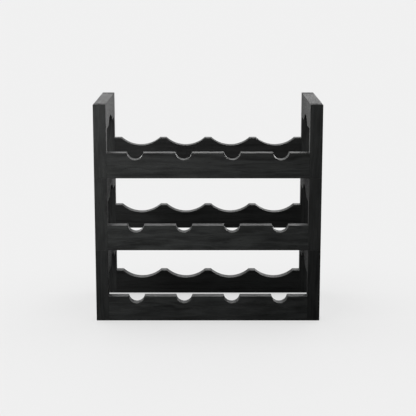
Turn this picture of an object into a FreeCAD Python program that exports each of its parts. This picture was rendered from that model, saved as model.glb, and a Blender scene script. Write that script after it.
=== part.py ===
"""A stackable wooden wine rack: three identical modules, each holding a row of bottles lying down.

Each module has four posts, two side rails with a hand grip under them, a front rail that holds the
bottle necks and a rear rail that cradles the bottle bodies. Glued dowels join its rails to its posts.
Loose modules stand on each other's posts, and dowels in the post ends keep them in line.

Millimetres. +X is the width, +Y runs from the front to the back and +Z is up. The origin is the middle
of the rack's footprint, on the surface that it stands on.
"""

import FreeCAD, Part

import math
import os

# The row of bottles in a module.
bottles_per_module = 4
bottle_pitch = 100.0
end_margin = 58.5  # from the axis of the last bottle in a row to the post beside it

# The frame of a module.
module_height = 152.0
module_depth = 240.0
side_thickness = 26.0  # of posts and side rails, from left to right
frame_thickness = 22.0  # of posts, front rail and rear rail, from front to back
rail_height = 52.5  # of the front and rear rails, which start at the module's foot
side_rail_height = 52.5  # of the side rails, which end at the module's top

# Round cut-outs: the front rail's necks, the rear rail's cradles and the side rails' grips.
neck_radius = 17.0
neck_depth = 14.6
cradle_radius = 64.5
cradle_depth = 16.5
grip_radius = 64.5
grip_depth = 17.5

# Broken edges.
corner_arris = 0.8  # on the upright corner of each post that faces out of the rack
edge_arris = 0.5  # along the rails and round the ends of the posts
joint_arris = 0.3  # on the upright edges of each post that a rail can meet

# Dowels and their holes.
dowel_radius = 4.0
dowel_chamfer = 1.0
glue_clearance = 0.05  # all round a dowel between a rail and a post
stack_clearance = 0.1  # all round a stacking dowel, so that a module lifts off
end_clearance = 1.0  # between a dowel's end and the bottom of its hole
mouth_chamfer = 0.5  # round the mouth of each stacking hole
cover = 4.0  # wood left between a dowel hole and the nearest edge, cut-out or other hole
rail_dowel_in_post = 17.0
rail_dowel_in_rail = 18.0
side_dowel_in_post = 13.0
side_dowel_in_rail = 17.0
stack_dowel_reach = 15.0  # into each of the two posts that it joins

tiers = ("bottom", "middle", "top")
sides = (("left", -1), ("right", 1))
ends = (("front", -1), ("rear", 1))

# Sizes that follow from those above.
inner_width = (bottles_per_module - 1) * bottle_pitch + 2 * end_margin
inner_depth = module_depth - 2 * frame_thickness
post_x = (inner_width + side_thickness) / 2
post_y = (inner_depth + frame_thickness) / 2
side_rail_foot = module_height - side_rail_height
glued_hole_radius = dowel_radius + glue_clearance
stack_hole_radius = dowel_radius + stack_clearance
stack_hole_depth = stack_dowel_reach + end_clearance

tiny = 1e-6
along_x = FreeCAD.Vector(1, 0, 0)
along_y = FreeCAD.Vector(0, 1, 0)
along_z = FreeCAD.Vector(0, 0, 1)


def same(first, second):
    return abs(first - second) < tiny


def point(x, y, z):
    return FreeCAD.Vector(x, y, z)


def block(size_x, size_y, size_z, centre_x, centre_y, foot_z):
    """A box from the centre of its foot."""
    corner = point(centre_x - size_x / 2, centre_y - size_y / 2, foot_z)
    return Part.makeBox(size_x, size_y, size_z, corner)


def break_edges(solid, arris, chosen):
    """Chamfers the edges whose middle point passes the test."""
    return solid.makeChamfer(arris, [edge for edge in solid.Edges if chosen(edge.CenterOfMass)])


def arc_cut_at(offset, radius, depth):
    """How deep a round cut-out is at an offset from its axis, or 0 beyond its mouth."""
    if offset >= radius:
        return 0.0
    return max(0.0, depth - radius + math.sqrt(radius**2 - offset**2))


def rail_dowel_heights():
    """The two heights of the dowels in the ends of a front or rear rail.

    The lower one clears the stacking hole in the post's foot, and the upper one clears the end cradle.
    """
    lower = stack_hole_depth + cover + glued_hole_radius
    tip = end_margin - rail_dowel_in_rail - end_clearance
    wood_top = rail_height - arc_cut_at(tip, cradle_radius, cradle_depth)
    return lower, wood_top - cover - glued_hole_radius


def side_dowel_heights():
    """The two heights of the dowels in the ends of a side rail, below the stacking hole in the post's top."""
    upper = module_height - stack_hole_depth - cover - glued_hole_radius
    return side_rail_foot + cover + glued_hole_radius, upper


def bottle_places():
    middle = (bottles_per_module - 1) / 2
    return [(place - middle) * bottle_pitch for place in range(bottles_per_module)]


def bore(solid, mouth, direction, reach, radius):
    """Cuts a blind hole for a dowel that reaches that far in from the mouth."""
    return solid.cut(Part.makeCylinder(radius, reach + end_clearance, mouth, direction))


def stack_bore(solid, mouth, direction):
    """Cuts a stacking hole with a chamfered mouth into the end of a post."""
    solid = bore(solid, mouth, direction, stack_dowel_reach, stack_hole_radius)
    mouth_radius = stack_hole_radius + mouth_chamfer
    return solid.cut(Part.makeCone(mouth_radius, stack_hole_radius, mouth_chamfer, mouth, direction))


def post(side, end):
    """A corner post, with holes for its rails' dowels and for the stacking dowels."""
    x = side * post_x
    y = end * post_y
    solid = block(side_thickness, frame_thickness, module_height, x, y, 0)
    outer_x = x + side * side_thickness / 2
    inner_x = x - side * side_thickness / 2
    outer_y = y + end * frame_thickness / 2
    inner_y = y - end * frame_thickness / 2
    solid = break_edges(solid, corner_arris, lambda at: same(at.x, outer_x) and same(at.y, outer_y))

    def upright_by_rail(at):
        return same(at.z, module_height / 2) and (same(at.x, inner_x) or same(at.y, inner_y))

    solid = break_edges(solid, joint_arris, upright_by_rail)
    solid = break_edges(solid, edge_arris, lambda at: same(at.z, 0) or same(at.z, module_height))
    for height in rail_dowel_heights():
        mouth = point(inner_x, y, height)
        solid = bore(solid, mouth, along_x * side, rail_dowel_in_post, glued_hole_radius)
    for height in side_dowel_heights():
        mouth = point(x, inner_y, height)
        solid = bore(solid, mouth, along_y * end, side_dowel_in_post, glued_hole_radius)
    solid = stack_bore(solid, point(x, y, 0), along_z)
    return stack_bore(solid, point(x, y, module_height), -along_z)


def cross_rail(end, cut_radius, cut_depth):
    """A front or rear rail, with a round cut-out in its upper edge for each bottle."""
    y = end * post_y
    solid = block(inner_width, frame_thickness, rail_height, 0, y, 0)
    for place in bottle_places():
        start = point(place, y - frame_thickness, rail_height - cut_depth + cut_radius)
        solid = solid.cut(Part.makeCylinder(cut_radius, 2 * frame_thickness, start, along_y))
    solid = break_edges(solid, edge_arris, lambda at: not same(abs(at.x), inner_width / 2))
    for side in (-1, 1):
        for height in rail_dowel_heights():
            mouth = point(side * inner_width / 2, y, height)
            solid = bore(solid, mouth, along_x * -side, rail_dowel_in_rail, glued_hole_radius)
    return solid


def side_rail(side):
    """A side rail, with a hand grip arched into its lower edge."""
    x = side * post_x
    solid = block(side_thickness, inner_depth, side_rail_height, x, 0, side_rail_foot)
    start = point(x - side_thickness, 0, side_rail_foot + grip_depth - grip_radius)
    solid = solid.cut(Part.makeCylinder(grip_radius, 2 * side_thickness, start, along_x))
    solid = break_edges(solid, edge_arris, lambda at: not same(abs(at.y), inner_depth / 2))
    for end in (-1, 1):
        for height in side_dowel_heights():
            mouth = point(x, end * inner_depth / 2, height)
            solid = bore(solid, mouth, along_y * -end, side_dowel_in_rail, glued_hole_radius)
    return solid


def dowel(start, direction, length):
    solid = Part.makeCylinder(dowel_radius, length, start, direction)
    return solid.makeChamfer(dowel_chamfer, [edge for edge in solid.Edges if edge.isClosed()])


def rail_dowels(end):
    """The dowels that join a front or rear rail to its two posts."""
    length = rail_dowel_in_post + rail_dowel_in_rail
    pieces = []
    for side in (-1, 1):
        for height in rail_dowel_heights():
            start = point(side * (inner_width / 2 - rail_dowel_in_rail), end * post_y, height)
            pieces.append(dowel(start, along_x * side, length))
    return Part.makeCompound(pieces)


def side_dowels():
    """The dowels that join both side rails to the four posts."""
    length = side_dowel_in_post + side_dowel_in_rail
    pieces = []
    for side in (-1, 1):
        for end in (-1, 1):
            for height in side_dowel_heights():
                start = point(side * post_x, end * (inner_depth / 2 - side_dowel_in_rail), height)
                pieces.append(dowel(start, along_y * end, length))
    return Part.makeCompound(pieces)


def stacking_dowels():
    """The dowels under a module's four posts, half of each in the module below."""
    pieces = []
    for side in (-1, 1):
        for end in (-1, 1):
            start = point(side * post_x, end * post_y, -stack_dowel_reach)
            pieces.append(dowel(start, along_z, 2 * stack_dowel_reach))
    return Part.makeCompound(pieces)


def module_pieces():
    """The pieces of one module, with its foot at height 0, by name."""
    pieces = {}
    for end_name, end in ends:
        for side_name, side in sides:
            pieces[f"{end_name}_{side_name}_post"] = post(side, end)
        pieces[f"{end_name}_rail_dowels"] = rail_dowels(end)
    for side_name, side in sides:
        pieces[f"{side_name}_side_rail"] = side_rail(side)
    pieces["side_rail_dowels"] = side_dowels()
    pieces["front_rail"] = cross_rail(-1, neck_radius, neck_depth)
    pieces["rear_rail"] = cross_rail(1, cradle_radius, cradle_depth)
    return pieces


def write(node, shape, foot_z):
    """Writes a copy of a piece at the foot of its module."""
    placed = shape.copy()
    placed.translate(point(0, 0, foot_z))
    placed.exportStep(f"parts/{node}.step")


def main():
    os.makedirs("parts", exist_ok=True)
    pieces = module_pieces()
    for place, tier in enumerate(tiers):
        foot_z = place * module_height
        for name, shape in pieces.items():
            write(f"{tier}_{name}", shape, foot_z)
        if place > 0:
            write(f"{tier}_stacking_dowels", stacking_dowels(), foot_z)


main()
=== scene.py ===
"""Looks for the stacking wine rack: black-stained wood, beech dowels, a pale studio and the camera.

Every CAD node keeps its shape and gets a solid wood pattern that follows the grain of its own board.
Metres, in the rack's frame: +X is the width, -Y the front, +Z up, with the floor at 0.
"""

import math
import random

import bpy
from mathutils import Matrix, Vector


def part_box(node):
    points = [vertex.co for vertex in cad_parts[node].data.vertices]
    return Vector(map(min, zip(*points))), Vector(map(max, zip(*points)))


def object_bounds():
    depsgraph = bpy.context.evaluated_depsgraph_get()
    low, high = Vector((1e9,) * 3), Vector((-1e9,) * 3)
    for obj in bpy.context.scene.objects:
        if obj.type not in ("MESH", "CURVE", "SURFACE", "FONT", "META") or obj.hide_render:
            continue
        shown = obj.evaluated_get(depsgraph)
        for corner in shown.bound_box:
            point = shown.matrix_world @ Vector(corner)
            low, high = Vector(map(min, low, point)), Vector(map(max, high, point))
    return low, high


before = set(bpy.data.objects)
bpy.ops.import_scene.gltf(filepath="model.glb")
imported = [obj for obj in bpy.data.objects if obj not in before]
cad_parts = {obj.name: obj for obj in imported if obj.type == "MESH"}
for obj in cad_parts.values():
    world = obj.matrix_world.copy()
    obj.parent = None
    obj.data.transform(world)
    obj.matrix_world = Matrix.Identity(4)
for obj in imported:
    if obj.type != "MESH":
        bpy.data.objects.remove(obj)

cad_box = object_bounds()

# The camera stands in front of the rack's middle and looks down a little.
camera_distance = 2.413  # from the rack's front face
camera_height = 0.732
camera_tilt = math.radians(11.48)  # below the horizon
camera_lens = 103.1  # mm

# The studio. Levels are linear, with white at 1.
backdrop_level = 0.863
floor_size = 80.0
floor_glow = 0.58  # what the camera sees of the floor even in shadow
floor_albedo = 0.111  # of the light on the floor that shows the rack's shadow
floor_bounce = 0.033  # as the rack sees it
sky_base = 0.05  # what the rack sees outside the patches
sky_patches = {
    # name: the direction it is seen in, how far it reaches round that direction in degrees, and its level
    "low_back": ((0.0, 1.0, 0.32), 19, 1.85),
    "top": ((0.0, -0.2, 1.0), 50, 0.4),
}
sun_strength = 8.2
sun_angle = math.radians(120)
sun_from = Vector((-0.10, 0.35, 1.0))  # behind the rack, a little to the left and high up
softboxes = {
    # name: its place, what it is aimed at, its side in metres and its power in watts
    "upper_left": ((-0.20, -0.75, 0.84), (0.0, -0.12, 0.25), 0.40, 5.4),
    "left_front": ((-1.10, -0.75, 0.80), (0.0, 0.0, 0.23), 0.80, 9.5),
    "left_low": ((-0.85, -0.80, 0.34), (-0.17, 0.10, 0.20), 0.40, 4.2),
    "left_back": ((-0.81, 0.81, 0.58), (0.0, 0.0, 0.30), 0.40, 12.5),
    "right_back": ((0.81, 0.81, 0.58), (0.0, 0.0, 0.30), 0.40, 20.0),
}

# The pattern of the wood, in metres.
ring_bends = ((0.050, 0.260, 0.022), (0.016, 0.070, 0.006))  # each one's width, length and reach
band_width = 0.0032  # of the growth rings
line_width = 0.0085  # between the dark lines in them
band_range = (0.32, 0.68)  # of the rings' level, stretched to 0 to 1
line_reach = 0.035  # how far from the middle of the rings' level a dark line fades out
streaks = {
    # name: its width, length, detail and roughness, and the range of it that is stretched to 0 to 1
    "fibres": (0.0015, 0.032, 3.0, 0.65, 0.34, 0.66),
    "pores": (0.00045, 0.009, 1.0, 0.50, 0.60, 0.70),
    "clouds": (0.011, 0.055, 3.0, 0.50, 0.33, 0.67),
    "gaps": (0.020, 0.110, 1.0, 0.50, 0.42, 0.58),  # where the dark lines show
    "rubbed": (0.006, 0.030, 2.0, 0.50, 0.42, 0.62),  # where the finish is worn
}
shade_base = 0.08  # 0 is a finish's dark colour and 1 its light one
shade_shares = {"clouds": 0.34, "bands": 0.30, "fibres": 0.34, "lines": -0.40, "pores": -0.30}
height_shares = {"fibres": 0.4, "pores": -1.0, "shade": 0.3}
relief_strength = 0.6
pore_rough = 0.2
arris_slopes = (0.25, 0.50, 0.85, 0.98)  # a broken edge's is 0.71
end_slopes = (0.70, 0.90)  # from a face along the grain to end grain
heart_near = 0.05  # between a board and the heart of its tree
heart_far = 0.11
grain_shift = 1.0  # how far along its tree a board can start

# The finishes. Colours are linear, and the relief is in metres.
board_seed = 11
tone_spread = 0.08  # how far a board's tone can be from the tone meant for it
stained = {
    "dark": (0.0020, 0.0023, 0.0022),
    "light": (0.0230, 0.0243, 0.0237),
    "worn": (0.0520, 0.0480, 0.0440),
    "wear": 0.18,
    "smooth": 0.38,
    "rough": 0.55,
    "specular": 0.30,
    "relief": 0.00012,
    "end_shade": 0.62,
    "end_rough": 0.22,
}
beech = {
    "dark": (0.34, 0.20, 0.105),
    "light": (0.60, 0.42, 0.25),
    "worn": (0.62, 0.45, 0.28),
    "wear": 0.20,
    "smooth": 0.45,
    "rough": 0.60,
    "specular": 0.40,
    "relief": 0.00003,
    "end_shade": 0.80,
    "end_rough": 0.10,
}
tones_and_painted_shade = {
    # boards that took the stain lighter or darker than the rest; the front posts' tones also fall from top
    # to bottom as painted shade of the light dimming down the rack
    "bottom_front_left_post": 0.62,
    "middle_front_left_post": 0.80,
    "top_front_left_post": 0.90,
    "bottom_front_right_post": 0.58,
    "middle_front_right_post": 0.80,
    "top_front_right_post": 0.78,
    "bottom_rear_rail": 0.60,
    "middle_rear_rail": 0.70,
    "top_rear_rail": 0.46,
    "bottom_front_rail": 1.08,
    "middle_front_rail": 1.25,
    "top_front_rail": 0.88,
}
axis_names = "XYZ"
# For each grain, the axes that become X, Y and Z when the grain is turned onto Z.
grain_order = {"X": (1, 2, 0), "Y": (2, 0, 1), "Z": (0, 1, 2)}


def add(tree, kind, inputs=(), **settings):
    """A new node, with its settings and its inputs, each a value or another node's output."""
    node = tree.nodes.new(kind)
    for name, value in settings.items():
        setattr(node, name, value)
    for name, value in dict(inputs).items():
        if isinstance(value, bpy.types.NodeSocket):
            tree.links.new(value, node.inputs[name])
        else:
            node.inputs[name].default_value = value
    return node


def calc(tree, operation, *values):
    numbered = dict(enumerate(values))
    return add(tree, "ShaderNodeMath", numbered, operation=operation).outputs[0]


def vector_calc(tree, operation, *values):
    numbered = dict(enumerate(values))
    return add(tree, "ShaderNodeVectorMath", numbered, operation=operation).outputs[0]


def ramp(tree, value, low, high, to_low=0.0, to_high=1.0):
    """Turns low to high into to_low to to_high, smoothly, and stays level outside."""
    inputs = {"Value": value, "From Min": low, "From Max": high, "To Min": to_low, "To Max": to_high}
    return add(tree, "ShaderNodeMapRange", inputs, interpolation_type="SMOOTHSTEP").outputs[0]


def grey(level):
    return (level, level, level, 1.0)


def mix_colour(tree, share, first, second):
    inputs = {0: share, 6: first, 7: second}
    return add(tree, "ShaderNodeMix", inputs, data_type="RGBA").outputs[2]


def noise(tree, place, across, along, detail, roughness=0.5):
    """Noise whose features are that wide across the grain and that long along it."""
    scaled = vector_calc(tree, "MULTIPLY", place, (1 / across, 1 / across, 1 / along))
    inputs = {"Vector": scaled, "Scale": 1.0, "Detail": detail, "Roughness": roughness}
    return add(tree, "ShaderNodeTexNoise", inputs).outputs


def streak(tree, place, name, to_high=1.0):
    """One of the streaks, from 0 to its highest value."""
    across, along, detail, roughness, low, high = streaks[name]
    value = noise(tree, place, across, along, detail, roughness)[0]
    return ramp(tree, value, low, high, 0.0, to_high)


def bend(tree, place, across, along, reach):
    """Bends the grain sideways by up to about a quarter of the reach."""
    push = noise(tree, place, across, along, 2.0)["Color"]
    push = vector_calc(tree, "SUBTRACT", push, (0.5, 0.5, 0.5))
    push = vector_calc(tree, "MULTIPLY", push, (reach, reach, 0.0))
    return vector_calc(tree, "ADD", place, push)


def rings(tree, radius, width, detail):
    """Growth rings of uneven width and strength, which change only with the distance from the heart."""
    turns = calc(tree, "DIVIDE", radius, width)
    inputs = {"W": turns, "Scale": 1.0, "Detail": detail}
    return add(tree, "ShaderNodeTexNoise", inputs, noise_dimensions="1D").outputs[0]


def dark_lines(tree, radius):
    """1 on thin lines that follow the growth rings, and 0 between them."""
    level = calc(tree, "SUBTRACT", rings(tree, radius, line_width, 1.0), 0.5)
    return ramp(tree, calc(tree, "ABSOLUTE", level), 0.0, line_reach, 1.0, 0.0)


def weigh(tree, start, parts, shares):
    """The start plus each part times its share."""
    total = start
    for name, share in shares.items():
        total = calc(tree, "MULTIPLY_ADD", parts[name], share, total)
    return total


def grain_group():
    """Solid wood. Its place is in metres, with the grain along Z and the heart of the tree on that axis."""
    group = bpy.data.node_groups.new("grain", "ShaderNodeTree")
    group.interface.new_socket("Place", in_out="INPUT", socket_type="NodeSocketVector")
    for name in ("Shade", "Fibres", "Pores"):
        group.interface.new_socket(name, in_out="OUTPUT", socket_type="NodeSocketFloat")
    place = add(group, "NodeGroupInput").outputs["Place"]
    bent = place
    for across, along, reach in ring_bends:
        bent = bend(group, bent, across, along, reach)
    flat = vector_calc(group, "MULTIPLY", bent, (1.0, 1.0, 0.0))
    radius = add(group, "ShaderNodeVectorMath", {0: flat}, operation="LENGTH").outputs["Value"]
    parts = {name: streak(group, bent, name) for name in ("clouds", "fibres", "pores")}
    parts["bands"] = ramp(group, rings(group, radius, band_width, 2.0), *band_range)
    parts["lines"] = calc(group, "MULTIPLY", dark_lines(group, radius), streak(group, place, "gaps"))
    shade = weigh(group, shade_base, parts, shade_shares)
    shade = add(group, "ShaderNodeClamp", {"Value": shade}).outputs[0]
    add(group, "NodeGroupOutput", {0: shade, 1: parts["fibres"], 2: parts["pores"]})
    return group


def place_in_tree(tree, coordinates, grain, heart):
    """Where a point of a board was in its tree, with the grain along Z and the heart on that axis."""
    moved = vector_calc(tree, "SUBTRACT", coordinates["Object"], heart)
    parts = add(tree, "ShaderNodeSeparateXYZ", {0: moved}).outputs
    turned = {slot: parts[axis] for slot, axis in enumerate(grain_order[grain])}
    return add(tree, "ShaderNodeCombineXYZ", turned).outputs[0]


def arris(tree, slope):
    """1 on a board's broken edges and 0 on its faces, whose normals lie along or square to an axis."""
    rise_from, rise_to, fall_from, fall_to = arris_slopes
    rise = ramp(tree, slope, rise_from, rise_to)
    fall = ramp(tree, slope, fall_from, fall_to, 1.0, 0.0)
    return calc(tree, "MULTIPLY", rise, fall)


def wood(name, group, grain, flat_axis, heart, finish, tone):
    """One board's material: its grain along an axis, its tree's heart through a place, and its tone."""
    material = bpy.data.materials.new(name)
    material.use_nodes = True
    tree = material.node_tree
    coordinates = add(tree, "ShaderNodeTexCoord").outputs
    place = place_in_tree(tree, coordinates, grain, heart)
    shade, fibres, pores = add(tree, "ShaderNodeGroup", {0: place}, node_tree=group).outputs
    dark = (*(part * tone for part in finish["dark"]), 1.0)
    light = (*(part * tone for part in finish["light"]), 1.0)
    colour = mix_colour(tree, shade, dark, light)

    # The finish is rubbed thin here and there along the broken edges.
    normal = add(tree, "ShaderNodeSeparateXYZ", {0: coordinates["Normal"]}).outputs
    slope = calc(tree, "ABSOLUTE", normal[axis_names.index(flat_axis)])
    rubbed = streak(tree, place, "rubbed", finish["wear"])
    rubbed = calc(tree, "MULTIPLY", rubbed, arris(tree, slope))
    colour = mix_colour(tree, rubbed, colour, (*finish["worn"], 1.0))

    # End grain drinks more stain than the faces along the grain, and stays rougher.
    facing = calc(tree, "ABSOLUTE", normal[axis_names.index(grain)])
    end_grain = ramp(tree, facing, *end_slopes)
    darker = {0: colour, "Scale": ramp(tree, end_grain, 0.0, 1.0, 1.0, finish["end_shade"])}
    colour = add(tree, "ShaderNodeVectorMath", darker, operation="SCALE").outputs[0]
    roughness = ramp(tree, fibres, 0.0, 1.0, finish["rough"], finish["smooth"])
    roughness = calc(tree, "MULTIPLY_ADD", pores, pore_rough, roughness)
    roughness = calc(tree, "MULTIPLY_ADD", end_grain, finish["end_rough"], roughness)

    height = weigh(tree, 0.0, {"fibres": fibres, "pores": pores, "shade": shade}, height_shares)
    relief = {"Height": height, "Strength": relief_strength, "Distance": finish["relief"]}
    shader = tree.nodes["Principled BSDF"].inputs
    tree.links.new(colour, shader["Base Color"])
    tree.links.new(roughness, shader["Roughness"])
    tree.links.new(add(tree, "ShaderNodeBump", relief).outputs[0], shader["Normal"])
    shader["Specular IOR Level"].default_value = finish["specular"]
    return material


def grain_of(node):
    """The axis that a piece's grain runs along: its length."""
    if node.endswith("post") or node.endswith("stacking_dowels"):
        return "Z"
    if node.endswith("side_rail") or node.endswith("side_rail_dowels"):
        return "Y"
    return "X"


def flat_axis_of(node):
    """The axis that is square to a piece's broad faces, or to a post's front."""
    return "X" if node.endswith("side_rail") else "Y"


def heart_of(node, grain, draw):
    """A place on the heart of the tree that a board was sawn from, somewhere to its side."""
    low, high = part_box(node)
    direction = draw.uniform(0, 2 * math.pi)
    distance = draw.uniform(heart_near, heart_far)
    across = [axis for axis in range(3) if axis_names[axis] != grain]
    heart = (low + high) / 2
    heart[across[0]] += distance * math.cos(direction)
    heart[across[1]] += distance * math.sin(direction)
    heart[axis_names.index(grain)] += draw.uniform(-grain_shift, grain_shift)
    return heart


def dress_nodes():
    """Gives every CAD node its own board of wood."""
    draw = random.Random(board_seed)
    group = grain_group()
    for node in sorted(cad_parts):
        grain = grain_of(node)
        heart = heart_of(node, grain, draw)
        finish = beech if node.endswith("dowels") else stained
        # A board's tone: its stain, a random spread, and on the front posts painted shade that darkens them
        # towards the floor.
        tone = tones_and_painted_shade.get(node, 1.0) * draw.uniform(1 - tone_spread, 1 + tone_spread)
        material = wood(f"{node}_wood", group, grain, flat_axis_of(node), heart, finish, tone)
        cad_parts[node].data.materials[0] = material


def floor():
    """A pale floor that runs out of sight. The rack sees it darker, and without its glow."""
    half = floor_size / 2
    corners = [(-half, -half, 0), (half, -half, 0), (half, half, 0), (-half, half, 0)]
    mesh = bpy.data.meshes.new("floor")
    mesh.from_pydata(corners, [], [(0, 1, 2, 3)])
    plane = bpy.data.objects.new("floor", mesh)
    bpy.context.scene.collection.objects.link(plane)
    material = bpy.data.materials.new("floor")
    material.use_nodes = True
    tree = material.node_tree
    tree.nodes.remove(tree.nodes["Principled BSDF"])
    bounce = add(tree, "ShaderNodeBsdfDiffuse", {"Color": grey(floor_bounce)}).outputs[0]
    shown = add(tree, "ShaderNodeBsdfDiffuse", {"Color": grey(floor_albedo)}).outputs[0]
    glow = add(tree, "ShaderNodeEmission", {"Color": grey(floor_glow)}).outputs[0]
    shown = add(tree, "ShaderNodeAddShader", {0: shown, 1: glow}).outputs[0]
    seen = add(tree, "ShaderNodeLightPath").outputs["Is Camera Ray"]
    surface = add(tree, "ShaderNodeMixShader", {0: seen, 1: bounce, 2: shown}).outputs[0]
    tree.links.new(surface, tree.nodes["Material Output"].inputs["Surface"])
    mesh.materials.append(material)
    return plane


def sky():
    """A pale backdrop for the camera, and soft patches of light behind and above for the rack."""
    world = bpy.data.worlds.new("studio")
    bpy.context.scene.world = world
    world.use_nodes = True
    tree = world.node_tree
    tree.nodes.clear()
    direction = add(tree, "ShaderNodeTexCoord").outputs["Generated"]
    level = sky_base
    for middle, reach, strength in sky_patches.values():
        towards = {0: direction, 1: Vector(middle).normalized()}
        nearness = add(tree, "ShaderNodeVectorMath", towards, operation="DOT_PRODUCT").outputs["Value"]
        edge = math.cos(math.radians(reach))
        level = calc(tree, "ADD", level, ramp(tree, nearness, edge, 1.0, 0.0, strength))
    seen = add(tree, "ShaderNodeLightPath").outputs["Is Camera Ray"]
    shift = calc(tree, "SUBTRACT", backdrop_level, level)
    level = calc(tree, "MULTIPLY_ADD", seen, shift, level)
    background = add(tree, "ShaderNodeBackground", {"Color": level}).outputs[0]
    output = add(tree, "ShaderNodeOutputWorld", {"Surface": background})
    output.is_active_output = True


def aim(thing, direction):
    thing.rotation_euler = direction.to_track_quat("-Z", "Y").to_euler()


def lamp(name, kind, energy):
    light = bpy.data.lights.new(name, kind)
    light.energy = energy
    thing = bpy.data.objects.new(name, light)
    bpy.context.scene.collection.objects.link(thing)
    return thing


def light_only(light, name, things):
    """Lets a light fall on nothing but these things."""
    lit = bpy.data.collections.new(name)
    for thing in things:
        lit.objects.link(thing)
    light.light_linking.receiver_collection = lit


def lights(plane):
    """A broad sun that lights only the floor, and unseen softboxes that light only the rack."""
    sun = lamp("sun", "SUN", sun_strength)
    sun.data.angle = sun_angle
    aim(sun, -sun_from)
    light_only(sun, "lit_by_sun", [plane])
    for name, (place, target, side, power) in softboxes.items():
        box = lamp(name, "AREA", power)
        box.data.size = side
        box.location = place
        box.visible_camera = False
        aim(box, Vector(target) - Vector(place))
        light_only(box, f"lit_by_{name}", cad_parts.values())


def camera():
    data = bpy.data.cameras.new("camera")
    data.lens = camera_lens
    thing = bpy.data.objects.new("camera", data)
    bpy.context.scene.collection.objects.link(thing)
    low, high = cad_box
    thing.location = ((low.x + high.x) / 2, low.y - camera_distance, camera_height)
    thing.rotation_euler = (math.pi / 2 - camera_tilt, 0, 0)
    bpy.context.scene.camera = thing


dress_nodes()
sky()
lights(floor())
camera()
bpy.context.scene.view_settings.view_transform = "Standard"
